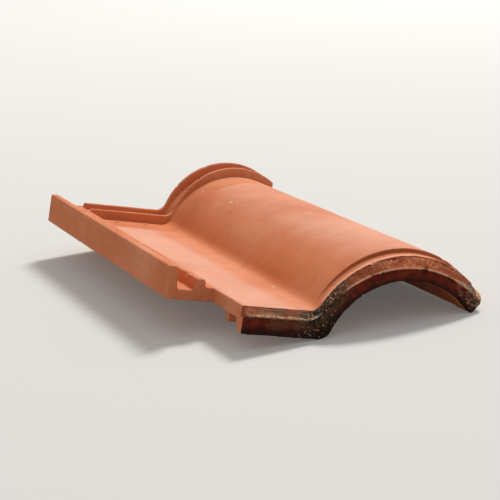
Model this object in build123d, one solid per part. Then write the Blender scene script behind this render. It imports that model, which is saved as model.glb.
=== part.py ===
"""Clay roof tile of the mixed form: a flat pan on the left and a round barrel on the right, pressed in one piece.

The tile is drawn lying square, as it is laid on a roof, and then set down as it rests alone on a level floor.
While it is drawn, x runs across the tile, y runs from the tail (the eaves end, the visible nose) to the head,
and z stands on the pan. The top of the pan is z = 0 and the crown of the barrel is x = 0.
"""
import math
import os

from build123d import *

os.makedirs("parts", exist_ok=True)

# Overall
LENGTH = 435.0           # tail edge to head edge
COVER = 213.0            # width that one tile covers on the roof
GAUGE = 365.0            # length that one tile covers on the roof
COURSE_STEP = 25.0       # height of one course above the course below it
WALL = 12.0              # thickness of the pressed clay
CROWN = 57.0             # height of the barrel above the pan

# Barrel, a cone that narrows towards the head so that the next course fits over it
TAIL_RADIUS = 86.5       # outer radius at the tail edge
HEAD_RADIUS = 73.0       # outer radius at the head edge
FOOT_RADIUS = 11.0       # hollow where the barrel rises out of the pan
FREE_EDGE_TAIL = 68.5    # crown line to the outer corner of the free edge, at the tail
FREE_EDGE_HEAD = 63.0    # the same at the head
BEAD_RADIUS = 3.5        # rounding of the bead under the free edge
BEAD_HEIGHT = 10.0       # lowest point of the bead above the pan
BEAD_IN_TAIL = 12.0      # outer corner to the middle of the bead, at the tail
BEAD_IN_HEAD = 12.0      # the same at the head
BEAD_ROOT = 20.0         # outer corner to where the bead grows out of the inner face

# Nose, the moulded edge at the tail
BAND_DEPTH = 8.0         # sloping band along the whole edge
BAND_DROP = 7.0          # drop of the band on the pan
LEDGE_DEPTH = 18.0       # tail edge to the foot of the riser on the barrel
RISER_TOP = 20.0         # tail edge to the top of the riser
LEDGE_DROP = 4.0         # height of the riser at the crown, from where it fades out to both sides
LEDGE_END_DROP = 0.3     # what is left of it at the free edge
ARRIS_DROP = 13.0        # crown to the lower edge of the band
ARRIS_FLATTER = 9.5      # the lower edge of the band has a radius larger than the barrel's by this
ARRIS_FOOT = 3.0         # and a hollow larger than the foot's by this
ARRIS_END_IN = 4.0       # it ends this much nearer the crown than the free edge
LIP_DEPTH = 12.0         # length of the thick edge, which ends in a slope as long as the ledge
LIP_GAP = 1.0            # clearance over the barrel of the tile below
LIP_PAN_GAP = 3.0        # clearance over the pan of the tile below

# Side lock along the left edge, under the free edge of the neighbour
SIDE_OVERLAP = 45.0      # how far the lock reaches under the neighbour
LOCK_RIB = 16.0          # outer rib above the pan
LOCK_RIB_WIDTH = 7.5
LOCK_CHANNEL = 3.0       # channel below the pan
LOCK_CHANNEL_WIDTH = 15.0
LOCK_INNER = 7.0         # inner rib above the pan
LOCK_INNER_WIDTH = 6.5
LOCK_DRAFT = 2.0         # slope of each rib side
NOTCH_GAP = 3.0          # where four tiles meet, the lock stops this far beyond the head of the tile below
NOTCH_LAP = 3.5          # width of the pan left there under the neighbour's free edge

# Weather ribs across the tile
RIB_WIDTH = 8.0
RIB_DRAFT = 1.5
HEAD_RIB = 11.0          # height of the rib at the head edge
HEAD_RIB_BACK = 1.0      # from that rib to the head edge
SECOND_RIB = 9.0         # height of the rib below it
RIB_PITCH = 23.0         # from one to the other
RIB_STOP = 38.0          # where both end on the far side of the crown

# Nib that hooks over the batten, and the nail holes beside it
NIB_WIDTH = 60.0
NIB_RIGHT = -100.0
NIB_BACK = 20.0          # from the face that bears on the batten to the head edge
NIB_THICK = 12.0
NIB_DROP = 27.0          # lowest face below the top of the pan
NIB_DRAFT = 2.0
NIB_CHAMFER = 2.0
NAIL_HOLE = 6.0
NAIL_BACK = 44.0         # from the nail holes to the head edge
NAIL_X = (-132.0, -100.0)

LEFT_EDGE = FREE_EDGE_TAIL - COVER - SIDE_OVERLAP
VISIBLE_LEFT = FREE_EDGE_TAIL - COVER
NIB_START = LENGTH - NIB_BACK
NAIL_Y = LENGTH - NAIL_BACK
HEAD_RIB_END = LENGTH - HEAD_RIB_BACK
UNDER_RIB_START = HEAD_RIB_END - GAUGE - RIB_WIDTH - (RIB_PITCH + RIB_WIDTH) / 2


def along(tail, head, y):
    """Value at y of a dimension that changes evenly from the tail to the head."""
    return tail + (head - tail) * y / LENGTH


def outer(y):
    """Upper face: middle of the barrel circle, its radius, pan height, foot radius and end."""
    radius = along(TAIL_RADIUS, HEAD_RADIUS, y)
    return (0.0, CROWN - radius, radius, 0.0, FOOT_RADIUS, along(FREE_EDGE_TAIL, FREE_EDGE_HEAD, y))


def inner(y):
    """Lower face, one wall thickness under the upper one."""
    shift, middle, radius, pan, foot, end = outer(y)
    return (shift, middle, radius - WALL, pan - WALL, foot + WALL, end - BEAD_ROOT)


def arris():
    """Lower edge of the sloping band, at the tail edge."""
    radius = TAIL_RADIUS + ARRIS_FLATTER
    end = FREE_EDGE_TAIL - ARRIS_END_IN
    return (0.0, CROWN - ARRIS_DROP - radius, radius, -BAND_DROP, FOOT_RADIUS + ARRIS_FOOT, end)


def ledge():
    """Ledge over the band: a flatter circle that runs out of the foot arc and back into the free edge."""
    tail = outer(0.0)
    fx, fz = foot_middle(tail)
    ex, ez = on_barrel(tail, FREE_EDGE_TAIL)
    top = CROWN - LEDGE_DROP
    ez -= LEDGE_END_DROP
    k = (top - fz + FOOT_RADIUS) / (top - ez)
    a, b = 1 - k, k * ex - fx
    c = fx ** 2 - k * ex ** 2 + (top - fz) ** 2 - FOOT_RADIUS ** 2 - k * (top - ez) ** 2
    root = math.sqrt(b ** 2 - a * c)
    shift = min(((-b + root) / a, (-b - root) / a), key=abs)
    radius = ((shift - ex) ** 2 + (top - ez) ** 2) / (2 * (top - ez))
    return (shift, top - radius, radius, 0.0, FOOT_RADIUS, FREE_EDGE_TAIL)


def lip(y=0.0):
    """Lower face of the nose, which follows the tile below with a clearance."""
    shift, middle, radius, pan, foot, _ = outer(GAUGE)
    end = along(FREE_EDGE_TAIL, FREE_EDGE_HEAD, y) - BEAD_ROOT
    return (shift, middle - COURSE_STEP, radius + LIP_GAP, pan - COURSE_STEP + LIP_PAN_GAP, foot, end)


def foot_middle(curve):
    """Middle of the foot arc, which touches the pan and the barrel circle."""
    shift, middle, radius, pan, foot, _ = curve
    reach = math.sqrt((radius + foot) ** 2 - (pan + foot - middle) ** 2)
    return shift - reach, pan + foot


def on_barrel(curve, x):
    shift, middle, radius = curve[:3]
    return x, middle + math.sqrt(radius ** 2 - (x - shift) ** 2)


def wave(curve):
    """Points of one face from the pan to its end: foot arc start, middle and end, then barrel middle and end."""
    shift, middle, radius, pan, foot, end = curve
    fx, fz = foot_middle(curve)
    turn = math.atan2(middle - fz, shift - fx)
    half = (turn - math.pi / 2) / 2
    touch = (fx + foot * math.cos(turn), fz + foot * math.sin(turn))
    between = (fx + foot * math.cos(half), fz + foot * math.sin(half))
    start = math.atan2(touch[1] - middle, touch[0] - shift)
    stop = math.atan2(on_barrel(curve, end)[1] - middle, end - shift)
    crown = (shift + radius * math.cos((start + stop) / 2), middle + radius * math.sin((start + stop) / 2))
    return [(fx, pan), between, touch, crown, on_barrel(curve, end)]


def bead_middle(y):
    x = along(FREE_EDGE_TAIL - BEAD_IN_TAIL, FREE_EDGE_HEAD - BEAD_IN_HEAD, y)
    return x, BEAD_HEIGHT + BEAD_RADIUS


def tangent(point, middle, radius, side):
    """Angle on a circle where the line from a point touches it."""
    dx, dz = point[0] - middle[0], point[1] - middle[1]
    return math.atan2(dz, dx) + side * math.acos(radius / math.hypot(dx, dz))


def lock_edges():
    """Places across the side lock: outer rib, channel and inner rib, each with its sloping sides."""
    places, x = [], LEFT_EDGE
    for width in (LOCK_RIB_WIDTH, LOCK_DRAFT, LOCK_CHANNEL_WIDTH, LOCK_DRAFT, LOCK_INNER_WIDTH, LOCK_DRAFT):
        x += width
        places.append(x)
    return places


def section(y, top, under):
    """Cross-section at y between two faces, closed by the side lock and by the bead of the free edge."""
    def place(x, z):
        return (x, y, z)

    ring = lock_edges()
    lock = [(LEFT_EDGE, under[3]), (LEFT_EDGE, LOCK_RIB), (ring[0], LOCK_RIB), (ring[1], -LOCK_CHANNEL),
            (ring[2], -LOCK_CHANNEL), (ring[3], LOCK_INNER), (ring[4], LOCK_INNER), (ring[5], top[3])]
    upper, lower = wave(top), wave(under)
    bead, r = bead_middle(y), BEAD_RADIUS
    a = tangent(upper[-1], bead, r, -1)
    b = tangent(lower[-1], bead, r, 1)
    tip = [(bead[0] + r * math.cos(t), bead[1] + r * math.sin(t)) for t in (a, -math.pi / 2, b)]
    edges = [Line(place(*p), place(*q)) for p, q in zip(lock, lock[1:] + [upper[0]])]
    edges.append(ThreePointArc(place(*upper[0]), place(*upper[1]), place(*upper[2])))
    edges.append(ThreePointArc(place(*upper[2]), place(*upper[3]), place(*upper[4])))
    edges.append(Line(place(*upper[4]), place(*tip[0])))
    edges.append(ThreePointArc(*[place(*p) for p in tip]))
    edges.append(Line(place(*tip[2]), place(*lower[4])))
    edges.append(ThreePointArc(place(*lower[4]), place(*lower[3]), place(*lower[2])))
    edges.append(ThreePointArc(place(*lower[2]), place(*lower[1]), place(*lower[0])))
    edges.append(Line(place(*lower[0]), place(*lock[0])))
    return Face(Wire(edges))


def block(x0, x1, y0, y1, z0, z1):
    """Box between two corners."""
    return Pos((x0 + x1) / 2, (y0 + y1) / 2, (z0 + z1) / 2) * Box(x1 - x0, y1 - y0, z1 - z0)


def strip(y, top, under, left, right):
    """Cross-section of a rib between two faces, from left to right."""
    def place(x, z):
        return (x, y, z)

    upper, lower = wave(top[:5] + (right,)), wave(under[:5] + (right,))
    edges = [Line(place(left, under[3]), place(left, top[3])), Line(place(left, top[3]), place(*upper[0]))]
    edges.append(ThreePointArc(place(*upper[0]), place(*upper[1]), place(*upper[2])))
    edges.append(ThreePointArc(place(*upper[2]), place(*upper[3]), place(*upper[4])))
    edges.append(Line(place(*upper[4]), place(*lower[4])))
    edges.append(ThreePointArc(place(*lower[4]), place(*lower[3]), place(*lower[2])))
    edges.append(ThreePointArc(place(*lower[2]), place(*lower[1]), place(*lower[0])))
    edges.append(Line(place(*lower[0]), place(left, under[3])))
    return Face(Wire(edges))


def lowered(curve, drop):
    """The same face, moved into the clay by a distance."""
    shift, middle, radius, pan, foot, end = curve
    return (shift, middle, radius - drop, pan - drop, foot + drop, end)


def head_rib(y_end, height):
    """Rib over the upper face near the head, low on the flanks so that the next course clears it."""
    y0, y1 = y_end - RIB_WIDTH, y_end
    above = inner((y0 + y1) / 2 - GAUGE)
    gap = COURSE_STEP - WALL - height
    crest = (0.0, above[1] + COURSE_STEP, above[2] - gap, height, FOOT_RADIUS, RIB_STOP)
    left = lock_edges()[-1] - LOCK_DRAFT / 2
    low = lowered(outer(y1), WALL / 2)
    stations = [(y0, lowered(outer(y0), 0.5)), (y0 + RIB_DRAFT, crest), (y1 - RIB_DRAFT, crest),
                (y1, lowered(outer(y1), 0.5))]
    return loft([strip(y, top, low, left, RIB_STOP) for y, top in stations], ruled=True)


def under_rib():
    """Rib under the lower face, behind the nose."""
    y0, y1 = UNDER_RIB_START, UNDER_RIB_START + RIB_WIDTH
    high = lowered(outer(y0), WALL / 2)
    left, right = VISIBLE_LEFT + LOCK_DRAFT, RIB_STOP
    stations = [(y0, lowered(inner(y0), -0.5)), (y0 + RIB_DRAFT, lip()), (y1 - RIB_DRAFT, lip()),
                (y1, lowered(inner(y1), -0.5))]
    return loft([strip(y, high, low, left, right) for y, low in stations], ruled=True)


def nib():
    """Nib under the head of the pan; its face towards the tail is square and the one behind slopes."""
    left, root, low, back = NIB_RIGHT - NIB_WIDTH, -WALL / 2, -NIB_DROP, NIB_START + NIB_THICK
    side = [(left, NIB_START, root), (left, NIB_START, low), (left, back - NIB_CHAMFER, low),
            (left, back, low + NIB_CHAMFER), (left, back + NIB_DRAFT, root)]
    return extrude(Face(Wire.make_polygon(side)), amount=NIB_WIDTH, dir=(1, 0, 0))


def resting_plane():
    """Floor under the tile: it touches the foot of the nose, the bead of the free edge and the nib."""
    fx, fz = foot_middle(lip())
    bx, bz = bead_middle(0.0)
    roll = math.atan2(bz - fz, bx - fx)
    roll += math.asin((FOOT_RADIUS - BEAD_RADIUS) / math.hypot(bx - fx, bz - fz))
    slope = math.tan(roll)
    x0, z0 = fx + FOOT_RADIUS * math.sin(roll), fz - FOOT_RADIUS * math.cos(roll)
    pitch = (-NIB_DROP - z0 - slope * (NIB_RIGHT - x0)) / NIB_START
    return Plane(origin=(x0, 0.0, z0), x_dir=(1.0, 0.0, slope), z_dir=(-slope, -pitch, 1.0))


def tile():
    """The tile, square to the pan."""
    stations = [(0.0, arris(), lip()), (BAND_DEPTH, ledge(), lip(BAND_DEPTH)), (LIP_DEPTH, ledge(), lip(LIP_DEPTH)),
                (LEDGE_DEPTH, ledge(), inner(LEDGE_DEPTH))]
    stations += [(y, outer(y), inner(y)) for y in (RISER_TOP, LENGTH / 2, LENGTH)]
    body = loft([section(*s) for s in stations], ruled=True)
    body += head_rib(HEAD_RIB_END, HEAD_RIB)
    body += head_rib(HEAD_RIB_END - RIB_PITCH, SECOND_RIB)
    body += under_rib()
    body += nib()
    body -= block(LEFT_EDGE - WALL, VISIBLE_LEFT - NOTCH_LAP, -WALL, LENGTH - GAUGE + NOTCH_GAP, -NIB_DROP, CROWN)
    for x in NAIL_X:
        body -= Pos(x, NAIL_Y, -WALL / 2) * Cylinder(NAIL_HOLE / 2, 3 * WALL)
    return body


floor = resting_plane()
square = tile()
settled = floor.location.inverse() * square
box = settled.bounding_box()
home = Pos(-box.center().X, -box.center().Y, -box.min.Z) * floor.location.inverse()
part = home * square
part.label = "tile"
export_step(part, "parts/tile.step")


def placed(x, y, z):
    """Where a point of the square tile lies in the finished part, in millimetres."""
    p = (home * Pos(x, y, z)).position
    return tuple(round(v, 3) for v in (p.X, p.Y, p.Z))


size = part.bounding_box().size
print("box", round(size.X, 2), round(size.Y, 2), round(size.Z, 2), "volume cm3", round(part.volume / 1000, 1))
print("solids", len(part.solids()), "valid", part.is_valid, "lowest", round(part.bounding_box().min.Z, 4))
for x in NAIL_X:
    print("nail hole at the lower face", placed(x, NAIL_Y, -WALL), "at the upper face", placed(x, NAIL_Y, 0))
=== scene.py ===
# %% [markdown]
# # A weathered clay roof tile
# One pressed and fired tile: a flat pan on the left, a round barrel on the right and a moulded nose at the
# tail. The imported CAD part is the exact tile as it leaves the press. This script gives it what the press, the
# kiln and the years on a roof add: soft edges, a torn nose, chips, scratches, lime specks, dust, moss, soot
# and lichen.

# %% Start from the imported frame
import math

import bmesh
import bpy
import numpy as np
from mathutils import Matrix, Vector, bvhtree, kdtree, noise


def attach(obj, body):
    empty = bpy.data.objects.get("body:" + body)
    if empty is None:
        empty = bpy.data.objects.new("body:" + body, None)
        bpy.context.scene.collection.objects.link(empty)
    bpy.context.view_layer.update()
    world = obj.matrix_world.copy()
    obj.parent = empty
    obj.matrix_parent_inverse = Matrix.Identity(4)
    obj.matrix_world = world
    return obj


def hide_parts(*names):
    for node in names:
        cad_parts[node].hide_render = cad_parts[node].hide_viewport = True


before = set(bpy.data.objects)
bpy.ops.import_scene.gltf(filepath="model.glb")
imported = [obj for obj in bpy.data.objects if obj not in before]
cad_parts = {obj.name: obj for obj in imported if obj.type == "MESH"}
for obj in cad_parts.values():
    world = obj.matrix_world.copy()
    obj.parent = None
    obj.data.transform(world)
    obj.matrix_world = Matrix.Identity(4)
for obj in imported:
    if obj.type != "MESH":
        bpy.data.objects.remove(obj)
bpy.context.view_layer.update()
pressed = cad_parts["tile"]

# %% [markdown]
# ## The tile's own square frame
# The tile rests on the floor leaning a little to its right, but a maker measures it square to the pan, in
# millimetres: x across it with the crown of the barrel at 0, y from the tail to the head, z above the pan.
# One matrix turns the resting tile square. The mesh is worked in that frame and taken back at the end, and
# the materials use the same matrix, so that every band and stain can be given in millimetres.

# %% The matrix between them
REST_ROLL = math.radians(13.179)
REST_PITCH = math.radians(0.0346)
REST_ORIGIN = Vector((0.05765, -0.217487, 0.003238))
MILLIMETRE = 0.001
CROWN = 57

set_down = (Matrix.Translation(REST_ORIGIN) @ Matrix.Rotation(REST_PITCH, 4, "X")
            @ Matrix.Rotation(REST_ROLL, 4, "Y") @ Matrix.Scale(MILLIMETRE, 4))
square_up = set_down.inverted()
print("crown line starts at", [round(v, 4) for v in set_down @ Vector((0, 0, CROWN))])

# %% [markdown]
# ## The edges of the press mould
# Wear starts at the edges, so their places are noted before the mesh gets its grain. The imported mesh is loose
# triangles: a copy is merged first, and every edge that turns by more than 25 degrees is one of the tile's
# real edges. Points are taken along them, and a k-d tree then answers how far any place is from the nearest
# one. The arris of the nose, between its sloping band and its front face, gets a tree of its own.

# %% Find the real edges
SHARP = math.radians(25)
WELD = 1e-6

form = bmesh.new()
form.from_mesh(pressed.data)
bmesh.ops.remove_doubles(form, verts=form.verts, dist=WELD)
bmesh.ops.transform(form, matrix=square_up, verts=form.verts)
form.normal_update()
real = [edge for edge in form.edges if edge.is_manifold and edge.calc_face_angle() > SHARP]
print("real edges", len(real))

# %% Points along them
POINT_GAP = 0.8
ON_TAIL = 0.05
FACES_UP = 0.3


def tree_along(edges):
    """A k-d tree of points along the edges, one every POINT_GAP millimetres."""
    points = []
    for edge in edges:
        a, b = (v.co for v in edge.verts)
        count = max(2, int((b - a).length / POINT_GAP) + 1)
        points += [a.lerp(b, k / (count - 1)) for k in range(count)]
    tree = kdtree.KDTree(len(points))
    for k, point in enumerate(points):
        tree.insert(point, k)
    tree.balance()
    print("points along the edges", len(points))
    return tree


outward = tree_along([edge for edge in real if edge.is_convex])
inward = tree_along([edge for edge in real if not edge.is_convex])
tail_edges = [edge for edge in real if all(abs(v.co.y) < ON_TAIL for v in edge.verts)]
arris = tree_along([edge for edge in tail_edges
                    if any(face.normal.z > FACES_UP for face in edge.link_faces)])

# %% [markdown]
# ## Clay with a grain
# Fired clay has no knife edges: the mould leaves them a millimetre or two round. A voxel remesh does both
# jobs at once. It gives an even skin that can be chipped anywhere, and it rounds each edge by about one
# voxel. The skin is laid back on the pressed form, so that the nose keeps its full thickness. Relaxing it
# away from the edges then takes out the flats that the CAD triangles left on the round barrel.

# %% An even skin
VOXEL = 1.2


def skin_of(source, voxel):
    """The source form remeshed into an even skin."""
    mesh = bpy.data.meshes.new("skin")
    source.to_mesh(mesh)
    piece = bpy.data.objects.new("skin", mesh)
    bpy.context.collection.objects.link(piece)
    tool = piece.modifiers.new("even skin", "REMESH")
    tool.mode = "VOXEL"
    tool.voxel_size = voxel
    skin = bpy.data.meshes.new_from_object(piece.evaluated_get(bpy.context.evaluated_depsgraph_get()))
    bpy.data.objects.remove(piece)
    bpy.data.meshes.remove(mesh)
    return skin


def read(items, name, width, kind=float):
    """One value of every vertex or edge of a mesh, as an array with a row for each."""
    values = np.empty(len(items) * width, kind)
    items.foreach_get(name, values)
    return values.reshape(-1, width)


skin = skin_of(form, VOXEL)
surface = bvhtree.BVHTree.FromBMesh(form)
form.free()
co = np.array([surface.find_nearest(place)[0] for place in read(skin.vertices, "co", 3)])
print("even skin", len(co), "vertices")

# %% Round the barrel and keep the edges
EDGE_KEEP = 5.0
ROUND_PASSES, EDGE_PASSES = 30, 1


def gap_to(tree, co):
    """Distance in millimetres from each place to the nearest point of the tree."""
    return np.array([tree.find(place)[2] for place in co])


def relax(co, pairs, share, passes):
    """Each vertex moves its share of half the way to the middle of its neighbours, several times."""
    a, b = pairs.T
    count = np.bincount(pairs.ravel(), minlength=len(co))[:, None]
    for _ in range(passes):
        total = np.stack([np.bincount(a, co[b, k], len(co)) + np.bincount(b, co[a, k], len(co))
                          for k in range(3)], 1)
        co = co + (total / count - co) * (0.5 * share[:, None])
    return co


pairs = read(skin.edges, "vertices", 2, int)
edge_gap = np.minimum(gap_to(outward, co), gap_to(inward, co))
away = np.clip((edge_gap - EDGE_KEEP / 2) / EDGE_KEEP, 0, 1)
co = relax(co, pairs, away, ROUND_PASSES)
co = relax(co, pairs, np.ones(len(co)), EDGE_PASSES)
skin.vertices.foreach_set("co", co.ravel())
skin.update()
print("relaxed away from the edges", int((away > 0).sum()), "vertices")

# %% [markdown]
# ## Relief
# Four kinds of relief matter at this distance. The whole tile is slightly wavy, from the pressing and the
# drying. The front face and the band of the nose are rough, where the mould parted. The arris between them
# carries a thin broken burr. Chips are missing along the outer edges, most of them on the nose, which takes
# every knock. Each follows a noise with its own grain in millimetres. The burr stands straight up, and the
# others go along the normal.

# %% Three helpers, and the place of every vertex on the nose
NOSE_DEPTH = 22.0
FAR = 30.0
FALL = 0.3
SEED_SHIFT = Vector((17.3, 5.1, 9.7))


def field(co, grain, seed, where=None):
    """Noise from about -1 to 1 with lumps of that many millimetres, worked out only where it is needed."""
    out = np.zeros(len(co))
    shift = SEED_SHIFT * seed
    for k in range(len(co)) if where is None else np.flatnonzero(where):
        out[k] = noise.noise(Vector(co[k]) / grain + shift)
    return out


def step(value, low, high):
    """0 below low, 1 above high and smooth between."""
    t = np.clip((value - low) / (high - low), 0, 1)
    return t * t * (3 - 2 * t)


def over_arris(co):
    """Distance to the arris in millimetres: positive on the band above it, negative on the face below it.

    A plane through the arris that falls by FALL towards the head tells them apart. Off the nose it is FAR."""
    rise = np.full(len(co), FAR)
    for k in np.flatnonzero(co[:, 1] < NOSE_DEPTH):
        place, _, gap = arris.find(co[k])
        rise[k] = math.copysign(gap, co[k][2] - place.z + FALL * co[k][1])
    return rise


rise = over_arris(co)
edge_gap = gap_to(outward, co)
print("vertices on the nose", int((rise < FAR).sum()))

# %% Waves, and the torn band and face
WAVE_GRAIN, WAVE_HEIGHT = 70.0, 0.30
TEAR_GRAIN, TEAR_HEIGHT = 5.5, 0.7
TEAR_COARSE, TEAR_FINE, TEAR_LEAST = 0.6, 0.4, 0.02
BAND_END, BAND_FADE, BAND_FULL = 8.2, 0.8, 0.7
FACE_END, FACE_FULL = 3.5, 1.5

move = WAVE_HEIGHT * field(co, WAVE_GRAIN, 1)
on_band = step(rise, 0, 1) * step(-co[:, 1], -BAND_END - BAND_FADE, -BAND_END + BAND_FULL)
on_face = step(-rise, 0, 1) * step(-co[:, 1], -FACE_END, -FACE_FULL)
rough = np.maximum(on_band, on_face)
torn = rough > TEAR_LEAST
move += TEAR_HEIGHT * rough * (TEAR_COARSE * field(co, TEAR_GRAIN, 2, torn)
                               + TEAR_FINE * field(co, TEAR_GRAIN / 2, 3, torn))
print("torn vertices", int(torn.sum()))

# %% Chips
CHIP_GRAIN, CHIP_DEPTH, CHIP_REACH = 8.0, 2.6, 3.0
CHIP_SEARCH = CHIP_REACH * 1.7
SPLINTER_GRAIN, SPLINTER_SHARE = CHIP_GRAIN / 3, 0.35
NO_CHIP, FULL_CHIP = 0.30, 0.62
NOSE_CHIPS, OTHER_CHIPS = 0.8, 0.4
COUNTED = 0.3

by_edge = edge_gap < CHIP_SEARCH
chance = field(co, CHIP_GRAIN, 4, by_edge) + SPLINTER_SHARE * field(co, SPLINTER_GRAIN, 5, by_edge)
knocked = step(chance, NO_CHIP, FULL_CHIP) * np.where(co[:, 1] < BAND_END, NOSE_CHIPS, OTHER_CHIPS)
knocked *= np.exp(-(edge_gap / CHIP_REACH) ** 2)
move -= CHIP_DEPTH * knocked
print("chipped vertices", int((knocked > COUNTED).sum()))

# %% The burr on the arris, and all of it on the skin
BURR_MIDDLE, BURR_WIDTH, BURR_HEIGHT, BURR_SEARCH = 0.4, 0.9, 1.1, 4
BREAK_GRAIN, BREAK_FINE_GRAIN, BREAK_FINE_SHARE = 6.0, 2.0, 0.5
BROKEN, WHOLE, BROKEN_HEIGHT = -0.3, 0.2, 0.3
CHIP_STARTS, CHIP_CLEARS = 0.1, 0.4
CLEARANCE = 0.02
LENGTH = 435.0

by_arris = np.abs(rise) < BURR_SEARCH
breaks = field(co, BREAK_GRAIN, 6, by_arris) + BREAK_FINE_SHARE * field(co, BREAK_FINE_GRAIN, 7, by_arris)
standing = BROKEN_HEIGHT + (1 - BROKEN_HEIGHT) * step(breaks, BROKEN, WHOLE)
burr = np.exp(-((rise - BURR_MIDDLE) / BURR_WIDTH) ** 2) * standing
burr *= 1 - step(knocked, CHIP_STARTS, CHIP_CLEARS)
co = co + read(skin.vertices, "normal", 3) * move[:, None]
co[:, 2] += BURR_HEIGHT * burr
co[:, 1] = np.clip(co[:, 1], CLEARANCE, LENGTH - CLEARANCE)
skin.vertices.foreach_set("co", co.ravel())
skin.update()
print("highest burr", round(float(BURR_HEIGHT * burr.max()), 2), "mm")

# %% [markdown]
# ## A lighter mesh
# The even skin has far more faces than the flat pan needs. Collapsing edges leaves large faces there and
# keeps the tile under 200,000 triangles. A vertex group holds the nose back from it, so that its relief and
# the fine lines of its finish keep their full grain.

# %% Collapse the flat places
MOST_TRIANGLES = 188000

tile = bpy.data.objects.new("weathered_tile", skin)
bpy.context.collection.objects.link(tile)
behind = tile.vertex_groups.new(name="behind_the_nose")
behind.add([int(k) for k in np.flatnonzero(co[:, 1] > NOSE_DEPTH)], 1.0, "REPLACE")
skin.calc_loop_triangles()
tool = tile.modifiers.new("lighter", "DECIMATE")
tool.vertex_group, tool.vertex_group_factor = behind.name, 1.0
tool.ratio = min(1.0, MOST_TRIANGLES / len(skin.loop_triangles))
lighter = bpy.data.meshes.new_from_object(tile.evaluated_get(bpy.context.evaluated_depsgraph_get()))
tile.modifiers.clear()
tile.data = lighter
bpy.data.meshes.remove(skin)
lighter.name = "weathered_tile"
lighter.calc_loop_triangles()
print("triangles", len(lighter.loop_triangles))

# %% [markdown]
# ## Measures for the finish
# The colours follow the same places as the relief, so what the material has to know is stored on the mesh:
# the distance over the arris in millimetres, which stays crisp between vertices as a mask would not, and
# masks from 0 to 1 for worn edges, for hollow corners, which are darkened, for what lies open to the sky, and
# for the damp places of the nose where moss and soot grow, which are the pan, the foot of the barrel and the
# tip of the free edge.

# %% Store the measures
WORN_REACH, HOLLOW_REACH = 2.2, 2.0
SKY_START, SKY_FULL = 0.72, 0.98
DAMP_START, DAMP_FULL = 40.0, 80.0
PAN_DAMP, PAN_START, PAN_FULL = 0.55, 90.0, 106.0
PAN_DRY_START, PAN_DRY = 122.0, 144.0
TIP_DAMP, TIP_START, TIP_FULL = 0.85, 34.0, 62.0


def store(mesh, name, values):
    """Keep one number for every vertex on the mesh, under a name that the material can read."""
    kept = mesh.attributes.new(name, "FLOAT", "POINT")
    kept.data.foreach_set("value", np.asarray(values, dtype=np.float32))


co = read(lighter.vertices, "co", 3)
x, y = co[:, 0], co[:, 1]
damp = step(-x, DAMP_START, DAMP_FULL) * (1 - (1 - PAN_DAMP) * step(-x, PAN_START, PAN_FULL))
damp = damp * (1 - step(-x, PAN_DRY_START, PAN_DRY)) + TIP_DAMP * step(x, TIP_START, TIP_FULL)
store(lighter, "rise", over_arris(co))
store(lighter, "worn", np.exp(-(gap_to(outward, co) / WORN_REACH) ** 2))
store(lighter, "hollow", np.exp(-(gap_to(inward, co) / HOLLOW_REACH) ** 2))
store(lighter, "sky", step(read(lighter.vertices, "normal", 3)[:, 2], SKY_START, SKY_FULL))
store(lighter, "damp", damp * (y < NOSE_DEPTH))
print("measures on", len(co), "vertices")

# %% [markdown]
# ## Weathered terracotta
# Terracotta is iron-bearing clay fired near 1000 degrees. Pressing leaves a fine sandy skin with no gloss, so
# the roughness is high and the index of refraction is that of fired clay, about 1.5. Its colour wanders from
# salmon to burnt orange over a hand's width, streaks run along the way the clay was pushed, and dark pores
# and a few pale lime specks show. On the nose the mould parting is darker and rougher, and damp feeds moss
# and soot there.

# %% The node helper and an empty material
def colour(code):
    """Linear red, green, blue and alpha of an sRGB hex value."""
    parts = [int(code[k:k + 2], 16) / 255 for k in (1, 3, 5)]
    return tuple(c / 12.92 if c <= 0.04045 else ((c + 0.055) / 1.055) ** 2.4 for c in parts) + (1.0,)


def add(tree, kind, inputs=None, **settings):
    """A node with its settings; each input is a value or another node's output."""
    node = tree.nodes.new("ShaderNode" + kind)
    for name, value in settings.items():
        setattr(node, name, value)
    for name, value in (inputs or {}).items():
        if isinstance(value, bpy.types.NodeSocket):
            tree.links.new(value, node.inputs[name])
        else:
            node.inputs[name].default_value = value
    return node


terracotta = bpy.data.materials.new("pressed_terracotta_weathered")
terracotta.use_nodes = True
tree = terracotta.node_tree
tree.nodes.clear()
print("colour check, half grey is", round(colour("#808080")[0], 3))

# %% [markdown]
# ## Millimetres for the patterns
# Object coordinates are metres in the resting frame. The Mapping node carries the same matrix as the mesh
# work, so the patterns after it are scaled in millimetres and run along the tile: a noise of scale 1/80 has
# lumps of about 80 mm, and squeezing the y axis draws it out into streaks. Real sand grains are 0.2 to
# 0.5 mm, too fine for this distance, so SAND is drawn twice as coarse as the largest of them.

# %% Square millimetres, and the grains
BROAD, MOTTLE, CLUMP, CRUMB, SAND = 80.0, 14.0, 9.0, 2.2, 1.1
STREAK_WIDTH, STREAK_LENGTH = 5.0, 130.0

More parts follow.
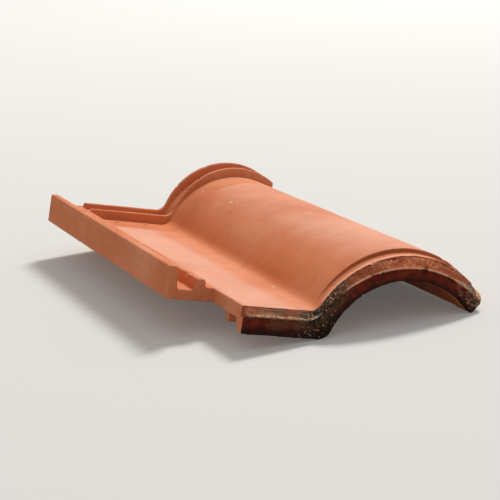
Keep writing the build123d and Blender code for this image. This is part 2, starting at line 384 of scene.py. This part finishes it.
seen = add(tree, "TexCoord").outputs["Object"]
square = add(tree, "Mapping", {"Vector": seen, "Location": square_up.to_translation(),
                               "Rotation": square_up.to_euler(), "Scale": (1000, 1000, 1000)}).outputs[0]
side, along, _ = add(tree, "SeparateXYZ", {"Vector": square}).outputs
broad, mottle, clump, crumb, sand = [
    add(tree, "TexNoise", {"Vector": square, "Scale": 1 / lump, "Detail": detail,
                           "Roughness": roughness}).outputs[0]
    for lump, detail, roughness in ((BROAD, 3, 0.55), (MOTTLE, 6, 0.6), (CLUMP, 6, 0.7),
                                    (CRUMB, 6, 0.72), (SAND, 3, 0.7))]
pushed = add(tree, "Mapping", {"Vector": square,
                               "Scale": (1 / STREAK_WIDTH, 1 / STREAK_LENGTH, 1 / STREAK_WIDTH)}).outputs[0]
streak = add(tree, "TexNoise", {"Vector": pushed, "Scale": 1, "Detail": 4, "Roughness": 0.6}).outputs[0]
print("grains", BROAD, MOTTLE, CLUMP, CRUMB, SAND, "mm")

# %% The clay itself
ROSE, SALMON, BURNT = "#DB8F6A", "#D67F57", "#CB744A"
LIGHTEST, DARKEST = 1.04, 0.95
NOISE_LOW, NOISE_HIGH = 0.3, 0.7

ramp = add(tree, "ValToRGB", {"Fac": broad})
ramp.color_ramp.elements.new(0.5)
for stop, place, code in zip(ramp.color_ramp.elements, (0.32, 0.5, 0.68), (BURNT, SALMON, ROSE)):
    stop.position, stop.color = place, colour(code)
clay = ramp.outputs["Color"]
for grain in (streak, mottle, sand):
    tone = add(tree, "MapRange", {"Value": grain, "From Min": NOISE_LOW, "From Max": NOISE_HIGH,
                                  "To Min": DARKEST, "To Max": LIGHTEST})
    clay = add(tree, "VectorMath", {0: clay, "Scale": tone.outputs[0]}, operation="SCALE").outputs[0]
print("clay from", BURNT, "to", ROSE)

# %% [markdown]
# ## Places and coats
# Everything that lies on the clay, from dust to moss, is a coat of colour in a place. A place is a strip of
# the tile, told by one of its measures: so many millimetres from the tail, from the crown line or from the
# arris. Strips may lie inside other strips, and one that is open to a side starts or ends where no measure
# comes. A coat is never even, so each takes a grain and thins out where it is low.

# %% Two helpers for the coats
NO_START, NO_END = -1000.0, 1000.0


def strip(measure, start, end, soft, inside=1.0):
    """A place: full where the measure lies from start to end, and nothing a soft edge beyond.

    Inside another place it is at most as full as that one."""
    begun = add(tree, "MapRange", {"Value": measure, "From Min": start - soft, "From Max": start,
                                   "To Max": inside}, interpolation_type="SMOOTHSTEP")
    ended = add(tree, "MapRange", {"Value": measure, "From Min": end, "From Max": end + soft,
                                   "To Min": begun.outputs[0], "To Max": 0.0},
                interpolation_type="SMOOTHSTEP")
    return ended.outputs[0]


def coat(look, paint, place, grain, bare, full, most=1.0):
    """The look under a coat of paint in a place: none up to a bare grain, and most from a full one."""
    laid = add(tree, "MapRange", {"Value": grain, "From Min": bare, "From Max": full, "To Max": most},
               interpolation_type="SMOOTHSTEP")
    amount = add(tree, "Math", {0: place, 1: laid.outputs[0]}, operation="MULTIPLY")
    return add(tree, "Mix", {0: amount.outputs[0], 6: look, 7: paint}, data_type="RGBA").outputs[2]


rise_mm, worn, hollow, open_sky, damp = [add(tree, "Attribute", attribute_name=name).outputs["Fac"]
                                         for name in ("rise", "worn", "hollow", "sky", "damp")]
print("measures read from the mesh: rise, worn, hollow, sky, damp")

# %% [markdown]
# ## Sun, painted sheen, dust and pores
# What lay open on the roof is a little bleached by the sun, the pan most of all, and the paler, pinker coat on
# what faces up is also a painted sheen of the light from above. The head lay under the next course and the side
# lock under the neighbour, so they kept their fresh colour, with a line of dust where the next tile's nose
# ended.
# The valley beside the barrel is painted a clearer orange for the orange light bounced into its shade, and gets
# darker spots of the dust colour. Pores are about a millimetre across, their size being a part of PORE_GAP, and
# stand in groups.

# %% Bleaching with a painted sheen, a painted bounce, and dust
BLEACHED_WITH_SHEEN, BOUNCE_ORANGE, DUST = "#E6AC94", "#DA8250", "#B0603A"
GAUGE, COVERED, DUST_LINE = 365.0, 6, 3
NEIGHBOUR, PAN_MIDDLE = -143.0, -112.0
VALLEY_LEFT, VALLEY_RIGHT = -88.0, -72.0

uncovered = strip(side, NEIGHBOUR, NO_END, soft=6)
shown = strip(along, NO_START, GAUGE - COVERED, soft=8, inside=uncovered)
# painted sheen: what faces up is painted paler and pinker, partly bleaching and partly the light from above
bleached_with_sheen = add(tree, "Math", {0: open_sky, 1: shown}, operation="MULTIPLY").outputs[0]
dust_line = strip(along, GAUGE - DUST_LINE, GAUGE, soft=3,
                  inside=strip(side, NEIGHBOUR, NO_END, soft=6, inside=open_sky))
pan = strip(side, NEIGHBOUR, PAN_MIDDLE, soft=18, inside=bleached_with_sheen)
valley = strip(side, VALLEY_LEFT, VALLEY_RIGHT, soft=20)
look = coat(clay, colour(BLEACHED_WITH_SHEEN), bleached_with_sheen, broad, bare=0.0, full=0.75, most=0.6)
look = coat(look, colour(DUST), dust_line, clump, bare=0.35, full=0.7, most=0.35)
look = coat(look, colour(BLEACHED_WITH_SHEEN), pan, broad, bare=0.0, full=0.6, most=0.5)
# painted bounce light: the valley is painted a clearer orange for the light bounced into its shade, then darker
# spots in the dust colour
look = coat(look, colour(BOUNCE_ORANGE), valley, broad, bare=0.0, full=0.5, most=0.5)
look = coat(look, colour(DUST), valley, mottle, bare=0.5, full=0.8, most=0.35)
print("bleached up to", GAUGE - COVERED, "mm from the tail")

# %% Pores
PORE = "#6E3A28"
PORE_GAP, PORE_GROUP = 6.5, 45.0
PORE_SIZE, GROUPED = 0.06, 0.66

groups = add(tree, "TexNoise", {"Vector": square, "Scale": 1 / PORE_GROUP, "Detail": 2}).outputs[0]
pore = add(tree, "TexVoronoi", {"Vector": square, "Scale": 1 / PORE_GAP}).outputs["Distance"]
pores = strip(pore, NO_START, PORE_SIZE, soft=0.07, inside=strip(groups, GROUPED, NO_END, soft=0.14))
look = coat(look, colour(PORE), pores, sand, bare=0.2, full=0.6, most=0.8)
print("pores every", PORE_GAP, "mm in groups of", PORE_GROUP, "mm")

# %% [markdown]
# ## Lime specks and scratches
# A lime speck is a grain of limestone that swelled after firing and pushed off a flake: a pale dot in a
# darker ring of painted shadow, for the shade in its little crater, a few on each tile. They are the points of
# a flat Voronoi pattern seen from above, thinned out by its own random colour, on what faces up. The distance
# from each point is counted in parts of LIME_GAP. The same colour scales it, so that the specks differ in size,
# and a crumbly noise makes their outline uneven. Scratches from handling are hairlines where a slow noise
# passes its middle value.

# %% Lime specks
LIME, SPECK_SHADOW = "#EBC3A2", "#A0593A"
LIME_GAP, SWOLLEN, UPWARD = 38.0, 0.72, 0.2
LARGE, SMALL = 0.7, 2.2
LEAST_UNEVEN, MOST_UNEVEN = 0.6, 1.4
SPECK_SHADOW_REACH, LIME_REACH = 0.060, 0.040

lime = add(tree, "TexVoronoi", {"Vector": square, "Scale": 1 / LIME_GAP}, voronoi_dimensions="2D")
lot = add(tree, "SeparateColor", {"Color": lime.outputs["Color"]})
size = add(tree, "MapRange", {"Value": lot.outputs["Green"], "To Min": LARGE, "To Max": SMALL})
uneven = add(tree, "MapRange", {"Value": crumb, "To Min": LEAST_UNEVEN, "To Max": MOST_UNEVEN})
reach = add(tree, "Math", {0: lime.outputs["Distance"], 1: uneven.outputs[0]}, operation="MULTIPLY")
reach = add(tree, "Math", {0: reach.outputs[0], 1: size.outputs[0]}, operation="MULTIPLY").outputs[0]
facing_up = strip(open_sky, UPWARD, NO_END, soft=0.15)
swollen = strip(lot.outputs["Red"], SWOLLEN, NO_END, soft=0.02, inside=facing_up)
# painted shadow: a darker ring round each speck for the shade of its crater
speck_shadow = strip(reach, NO_START, SPECK_SHADOW_REACH, soft=0.060, inside=swollen)
speck = strip(reach, NO_START, LIME_REACH, soft=0.034, inside=swollen)
look = coat(look, colour(SPECK_SHADOW), speck_shadow, crumb, bare=0.1, full=0.6, most=0.5)
look = coat(look, colour(LIME), speck, crumb, bare=0.2, full=0.55, most=0.9)
print("lime specks on", round(100 * (1 - SWOLLEN)), "of 100 places", LIME_GAP, "mm apart")

# %% Scratches
SCRATCHED = "#DE9C7A"
HAIR_BEND, HAIR_PATCH = 55, 38
HAIR_LOW, HAIR_HIGH = 0.499, 0.501

hair = add(tree, "TexNoise", {"Vector": square, "Scale": 1 / HAIR_BEND, "Detail": 1, "Distortion": 1.2})
patch = add(tree, "TexNoise", {"Vector": square, "Scale": 1 / HAIR_PATCH, "Detail": 1}).outputs[0]
scratch = strip(hair.outputs[0], HAIR_LOW, HAIR_HIGH, soft=0.0025)
look = coat(look, colour(SCRATCHED), scratch, patch, bare=0.56, full=0.64, most=0.6)
print("scratches in patches of", HAIR_PATCH, "mm")

# %% [markdown]
# ## The nose
# The coats of the nose go over the clay in this order: worn edges, then the riser in painted shade, the ledge
# and the pale rim under it, partly worn and partly a painted highlight, the rough band with the lines that the
# mould dragged along it, painted shade towards its ends and a painted shadow line along its top, the dark face,
# partly its own fired colour and partly painted shade, with its painted black contact shadow and its burr
# painted pale as a highlight, and last the moss, soot and silt of the years. Their edges are ragged, because a
# crumbly noise moves the measures by up to 0.8 mm. Off the nose the distance to the arris is FAR, beyond
# TOP_REACH, so that nothing meant for the top of the nose shows there.

# %% Ragged measures and the mould's lines
RAGGED = 1.6
DRAG_LENGTH, DRAG_WIDTH = 30.0, 1.3

ragged = add(tree, "Math", {0: crumb, 1: RAGGED, 2: -RAGGED / 2}, operation="MULTIPLY_ADD").outputs[0]
rise = add(tree, "Math", {0: rise_mm, 1: ragged}, operation="ADD").outputs[0]
depth = add(tree, "Math", {0: along, 1: ragged}, operation="ADD").outputs[0]
mixed = add(tree, "Math", {0: crumb, 1: clump}, operation="ADD").outputs[0]
lines = add(tree, "CombineXYZ", {"X": side, "Y": rise_mm, "Z": 0.0})
lines = add(tree, "Mapping", {"Vector": lines.outputs[0], "Scale": (1 / DRAG_LENGTH, 1 / DRAG_WIDTH, 1)})
drag = add(tree, "TexNoise", {"Vector": lines.outputs[0], "Scale": 1, "Detail": 4,
                              "Roughness": 0.6}).outputs[0]
print("lines on the band", DRAG_LENGTH, "mm long and", DRAG_WIDTH, "mm wide")

# %% The places of the nose
NOSE_LEFT, BARREL_LEFT, NOSE_RIGHT = -150, -76, 90
TOP_START, TOP_REACH, FACE_START = 0.5, 25, -0.3
SHADOW_LINE_START, SHADOW_LINE_END = BAND_END - 0.9, BAND_END + 0.1
RIM_START, RIM_END = BAND_END + 0.5, 12.0
LEDGE_START, RISER_FOOT, RISER_TOP = 13.5, 17.6, 19.7
LEDGE_SPAN, RISER_SPAN = (-56, 56), (-66, 48)
BURR_SPAN, BURR_RISE = (-62, 62), (-0.6, 0.8)

on_top = strip(rise_mm, TOP_START, TOP_REACH, soft=1)
front = strip(rise, NO_START, FACE_START, soft=0.5, inside=strip(depth, NO_START, FACE_END, soft=1))
before_rim = strip(depth, NO_START, BAND_END, soft=0.4, inside=on_top)
band = strip(rise, TOP_START, TOP_REACH, soft=0.5, inside=before_rim)
shadow_line = strip(depth, SHADOW_LINE_START, SHADOW_LINE_END, soft=0.5, inside=on_top)
rim = strip(depth, RIM_START, RIM_END, soft=1,
            inside=strip(side, BARREL_LEFT, NOSE_RIGHT, soft=4, inside=on_top))
ledge = strip(along, LEDGE_START, RISER_FOOT, soft=1,
              inside=strip(side, *LEDGE_SPAN, soft=20, inside=on_top))
riser = strip(along, RISER_FOOT, RISER_TOP, soft=0.6,
              inside=strip(side, *RISER_SPAN, soft=20, inside=on_top))
burr = strip(rise, *BURR_RISE, soft=0.4, inside=strip(side, *BURR_SPAN, soft=10))
print("band to", BAND_END, "mm, riser from", RISER_FOOT, "to", RISER_TOP, "mm")

# %% Worn edges, the riser's painted shade, ledge, and the rim with its painted highlight
LEDGE_BROWN, RIM_PALE_AND_HIGHLIGHT, BAND_DARK = "#C4724C", "#F2AC8A", "#964223"

look = coat(look, colour(SCRATCHED), worn, crumb, bare=0.42, full=0.6, most=0.5)
# the hollow corners are darker, in the dust colour
look = coat(look, colour(DUST), hollow, crumb, bare=0.3, full=0.6, most=0.6)
# painted shade: the riser is painted dark because it is turned away from the light
look = coat(look, colour(BAND_DARK), riser, clump, bare=0.1, full=0.3, most=0.75)
look = coat(look, colour(LEDGE_BROWN), ledge, mottle, bare=0.2, full=0.6, most=0.7)
# the pale rim is partly worn clay and partly a painted highlight on a face turned up to the light
look = coat(look, colour(RIM_PALE_AND_HIGHLIGHT), rim, clump, bare=0.25, full=0.5, most=0.85)
print("riser", BAND_DARK, "ledge", LEDGE_BROWN, "rim", RIM_PALE_AND_HIGHLIGHT)

# %% Band and its painted shadow line
BAND_PALE, BAND_FLECK, BAND_PAINTED_SHADE, SHADOW_LINE_DARK = "#D98659", "#EDAA88", "#78321A", "#4C2013"
EVERYWHERE = 1.0
FLECK_START, FLECK_END = 5, 20
SHADE_LEFT, SHADE_RIGHT = -44, 30

band_tone = coat(colour(BAND_DARK), colour(BAND_PALE), EVERYWHERE, mixed, bare=0.84, full=1.16)
dragged = strip(side, NOSE_LEFT, BARREL_LEFT, soft=10)
band_tone = coat(band_tone, colour(BAND_DARK), dragged, drag, bare=0.52, full=0.60, most=0.7)
flecked = strip(rise_mm, FLECK_START, FLECK_END, soft=3)
band_tone = coat(band_tone, colour(BAND_FLECK), flecked, crumb, bare=0.60, full=0.66, most=0.8)
# painted shade: the band is painted darker towards its left and right ends
for painted_shade_end in (strip(side, NOSE_LEFT, SHADE_LEFT, soft=30), strip(side, SHADE_RIGHT, NOSE_RIGHT, soft=25)):
    band_tone = coat(band_tone, colour(BAND_PAINTED_SHADE), painted_shade_end, clump, bare=0.2, full=0.5, most=0.6)
look = coat(look, band_tone, band, clump, bare=0.15, full=0.35, most=0.97)
# painted shadow: a dark ragged line along the top edge of the band, under the pale rim
look = coat(look, colour(SHADOW_LINE_DARK), shadow_line, clump, bare=0.42, full=0.56, most=0.85)
print("band", BAND_DARK, "to", BAND_PALE)

# %% Face in its own colour with painted shade, its painted contact shadow, and the burr's painted highlight
FACE_RED_WITH_SHADE, FACE_BROWN_WITH_SHADE, CONTACT_SHADOW_BLACK, BURR_HIGHLIGHT = "#74260F", "#43180D", "#1B110D", "#F5AE8C"
CONTACT_SHADOW_TOP = -11

# the face's dark red is partly its own fired colour and partly painted shade and orange bounce light
face_tone_with_shade = coat(colour(FACE_BROWN_WITH_SHADE), colour(FACE_RED_WITH_SHADE), EVERYWHERE, clump, bare=0.35, full=0.65)
look = coat(look, face_tone_with_shade, front, clump, bare=0.0, full=0.1)
# painted shadow: the foot of the face is painted black, for the shadow where the next tile lay under it
contact_shadow = strip(rise_mm, NO_START, CONTACT_SHADOW_TOP, soft=5, inside=front)
look = coat(look, colour(CONTACT_SHADOW_BLACK), contact_shadow, crumb, bare=0.1, full=0.5, most=0.85)
# painted highlight: the burr is painted pale, as if it caught the light from above
look = coat(look, colour(BURR_HIGHLIGHT), burr, clump, bare=0.34, full=0.42, most=0.95)
print("face", FACE_BROWN_WITH_SHADE, "to", FACE_RED_WITH_SHADE)

# %% [markdown]
# ## Moss, soot, silt and lichen
# Water stands longest at the foot of the barrel and at the tip of the free edge. Moss settles there first and
# dies back to a brown crust, soot blackens the thickest of it, and specks of lichen grow on both, with grey
# patches at the tip. On the pan, silt dries in the dragged lines and in a pale line just over the arris.
# Moss, soot and the specks spread with the damp: it is added to their grain, so that they stand close where
# it is damp and far apart where it is dry.

# %% Moss and soot
MOSS, SOOT = "#5B4230", "#17100C"
SPREAD, SPECK_SPREAD = 0.50, 0.12
MOSS_LOW = -3

wet = strip(depth, NO_START, BAND_END, soft=1.2)
growth = add(tree, "Math", {0: damp, 1: SPREAD, 2: mixed}, operation="MULTIPLY_ADD").outputs[0]
grit = add(tree, "Math", {0: damp, 1: SPECK_SPREAD, 2: crumb}, operation="MULTIPLY_ADD").outputs[0]
mossy = strip(rise_mm, MOSS_LOW, TOP_REACH, soft=9, inside=wet)
look = coat(look, colour(MOSS), mossy, growth, bare=1.16, full=1.42, most=0.9)
look = coat(look, colour(SOOT), wet, growth, bare=1.40, full=1.52, most=0.95)
print("damp spreads growth by", SPREAD, "and specks by", SPECK_SPREAD)

# %% Silt and lichen
SILT, LICHEN, GREY_LICHEN = "#C9AD8B", "#CDAE8A", "#A79B82"
DAMP_LEAST = 0.25
PAN_SPAN = -134, -92
PATCH_SPAN, PATCH_RISE = (46, NOSE_RIGHT), (-7, 3)
GREY_SPAN, GREY_RISE = (50, NOSE_RIGHT), (-9, 12)

silted = strip(side, *PAN_SPAN, soft=8, inside=strip(rise_mm, TOP_START, TOP_REACH, soft=1, inside=wet))
damp_part = strip(damp, DAMP_LEAST, NO_END, soft=0.2, inside=wet)
patches = strip(side, *PATCH_SPAN, soft=10, inside=strip(rise_mm, *PATCH_RISE, soft=3, inside=wet))
grey = strip(side, *GREY_SPAN, soft=6, inside=strip(rise_mm, *GREY_RISE, soft=3, inside=wet))
look = coat(look, colour(SILT), silted, drag, bare=0.50, full=0.62, most=0.45)
look = coat(look, colour(LICHEN), damp_part, grit, bare=0.69, full=0.74, most=0.85)
look = coat(look, colour(GREY_LICHEN), patches, mixed, bare=1.00, full=1.16, most=0.8)
look = coat(look, colour(GREY_LICHEN), grey, grit, bare=0.62, full=0.70, most=0.8)
print("grey lichen from", PATCH_SPAN[0], "mm right of the crown")

# %% Bare clay at the shoulder, a painted highlight at the tip, and the line of silt
SHOULDER_SPAN = -74, -60
TIP_SPAN, TIP_RISE = (61, NOSE_RIGHT), (3, 12)
SILT_SPAN, SILT_RISE = (-142, -86), (0.9, 2.6)

shoulder = strip(side, *SHOULDER_SPAN, soft=5, inside=band)
# painted highlight: a pale spot at the tip, for the light caught by the end of the rim
tip_highlight = strip(side, *TIP_SPAN, soft=2, inside=strip(rise_mm, *TIP_RISE, soft=1.5, inside=wet))
silt_line = strip(rise, *SILT_RISE, soft=0.8, inside=strip(side, *SILT_SPAN, soft=6, inside=wet))
look = coat(look, colour(BAND_FLECK), shoulder, grit, bare=0.64, full=0.70, most=0.85)
look = coat(look, colour(RIM_PALE_AND_HIGHLIGHT), tip_highlight, crumb, bare=0.42, full=0.50, most=0.9)
look = coat(look, colour(SILT), silt_line, crumb, bare=0.42, full=0.52, most=0.85)
print("line of silt", *SILT_RISE, "mm over the arris")

# %% [markdown]
# ## Relief under the millimetre
# Sand, pores and specks are too fine for the mesh, so they go into the shading as bumps, and the torn places
# get a coarser one. The roughness changes a little with the mottling, since burnt clay is closer than pale
# clay.

# %% Bumps and the shader
SAND_HEIGHT, CRUMB_HEIGHT = 0.00025, 0.0009
CLOSE_CLAY, OPEN_CLAY = 0.82, 0.95

torn_places = add(tree, "Math", {0: band, 1: front}, operation="MAXIMUM").outputs[0]
torn_places = add(tree, "Math", {0: torn_places, 1: damp_part}, operation="MAXIMUM").outputs[0]
crumbs = add(tree, "Math", {0: mixed, 1: torn_places}, operation="MULTIPLY")
coarse = add(tree, "Bump", {"Height": crumbs.outputs[0], "Strength": 0.7, "Distance": CRUMB_HEIGHT})
pits = add(tree, "Math", {0: pores, 1: speck_shadow}, operation="ADD")
pits = add(tree, "Math", {0: pits.outputs[0], 1: speck}, operation="SUBTRACT")
level = add(tree, "Math", {0: sand, 1: pits.outputs[0]}, operation="SUBTRACT")
fine = add(tree, "Bump", {"Height": level.outputs[0], "Normal": coarse.outputs[0], "Strength": 0.5,
                          "Distance": SAND_HEIGHT})
dryness = add(tree, "MapRange", {"Value": mottle, "From Min": NOISE_LOW, "From Max": NOISE_HIGH,
                                 "To Min": CLOSE_CLAY, "To Max": OPEN_CLAY})
shader = add(tree, "BsdfPrincipled", {"Base Color": look, "Roughness": dryness.outputs[0], "IOR": 1.5,
                                      "Specular IOR Level": 0.15, "Normal": fine.outputs[0]})
add(tree, "OutputMaterial", {"Surface": shader.outputs[0]})
print("material nodes", len(tree.nodes))

# %% [markdown]
# ## Set the tile down
# The worked mesh goes back to metres in the resting frame, rides on the tile's body and stands for the plain
# pressed form, which stays as its collision shape.

# %% The finished piece
lighter.transform(set_down)
lighter.materials.clear()
lighter.materials.append(terracotta)
lighter.polygons.foreach_set("use_smooth", [True] * len(lighter.polygons))
lighter.update()
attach(tile, "root")
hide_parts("tile")
print("the tile stands for the pressed form")

# %% [markdown]
# ## Floor, light and camera
# The floor is plain and pale, with a faint glow that only the camera sees. One large soft light stands behind
# the tile and to its right, where the sun stood over the roof, so that the barrel is bright on its crown and
# the nose is in its own shade. The sky fills the rest, and looks brighter than it lights. The camera looks at
# the tile from the same side and height as in the photograph, with a long lens and a slight lean.

# %% Floor
FLOOR_REACH, FLOOR_GLOW = 6.0, 0.10
FLOOR_PAINT, FLOOR_SHOWN = "#D9D7D3", "#F4F2EE"

floor_form = bmesh.new()
bmesh.ops.create_grid(floor_form, x_segments=1, y_segments=1, size=FLOOR_REACH)
floor_mesh = bpy.data.meshes.new("floor")
floor_form.to_mesh(floor_mesh)
floor_form.free()
floor = bpy.data.objects.new("floor", floor_mesh)
bpy.context.collection.objects.link(floor)
paint = bpy.data.materials.new("pale_studio_paint")
paint.use_nodes = True
paint.node_tree.nodes.clear()
matt = add(paint.node_tree, "BsdfDiffuse", {"Color": colour(FLOOR_PAINT)})
camera_only = add(paint.node_tree, "LightPath").outputs["Is Camera Ray"]
glow = add(paint.node_tree, "Emission", {"Color": colour(FLOOR_SHOWN), "Strength": camera_only})
lit = add(paint.node_tree, "MixShader", {0: FLOOR_GLOW, 1: matt.outputs[0], 2: glow.outputs[0]})
add(paint.node_tree, "OutputMaterial", {"Surface": lit.outputs[0]})
floor_mesh.materials.append(paint)
print("floor", 2 * FLOOR_REACH, "m square")

# %% Light
KEY_PLACE, KEY_SIZE, KEY_POWER = Vector((3.6, 3.3, 5.85)), 1.8, 500
TARGET = Vector((0.0, 0.0, 0.03))

lamp = bpy.data.lights.new("key", "AREA")
lamp.size, lamp.energy = KEY_SIZE, KEY_POWER
key = bpy.data.objects.new("key", lamp)
key.location = KEY_PLACE
key.rotation_euler = (TARGET - KEY_PLACE).to_track_quat("-Z", "Y").to_euler()
bpy.context.collection.objects.link(key)
print("key light", round((TARGET - KEY_PLACE).length, 2), "m away")

# %% Sky
SKY_COLOUR, SKY_LIGHT, SKY_SHOWN = "#F2F1EF", 0.52, 0.9

world = bpy.data.worlds.new("sky")
world.use_nodes = True
bpy.context.scene.world = world
sky = world.node_tree
sky.nodes.clear()
rays = add(sky, "LightPath").outputs
direct = add(sky, "Math", {0: rays["Is Camera Ray"], 1: rays["Is Glossy Ray"]}, operation="MAXIMUM")
strength = add(sky, "MapRange", {"Value": direct.outputs[0], "To Min": SKY_LIGHT, "To Max": SKY_SHOWN})
background = add(sky, "Background", {"Color": colour(SKY_COLOUR), "Strength": strength.outputs[0]})
add(sky, "OutputWorld", {"Surface": background.outputs[0]})
print("sky lights at", SKY_LIGHT, "and shows at", SKY_SHOWN)

# %% Camera
EYE = Vector((-0.5580, -1.4505, 0.3974))
AIM = Vector((0.004, 0.0, 0.028))
LENS, SENSOR = 124.0, 36.0
LEAN = math.radians(-3.68)

lens = bpy.data.cameras.new("camera")
lens.lens, lens.sensor_width = LENS, SENSOR
camera = bpy.data.objects.new("camera", lens)
bpy.context.collection.objects.link(camera)
camera.matrix_world = (Matrix.Translation(EYE) @ (AIM - EYE).to_track_quat("-Z", "Y").to_matrix().to_4x4()
                       @ Matrix.Rotation(LEAN, 4, "Z"))
scene = bpy.context.scene
scene.camera = camera
scene.view_settings.view_transform = "Standard"
print("camera", round((AIM - EYE).length, 3), "m from the tile")
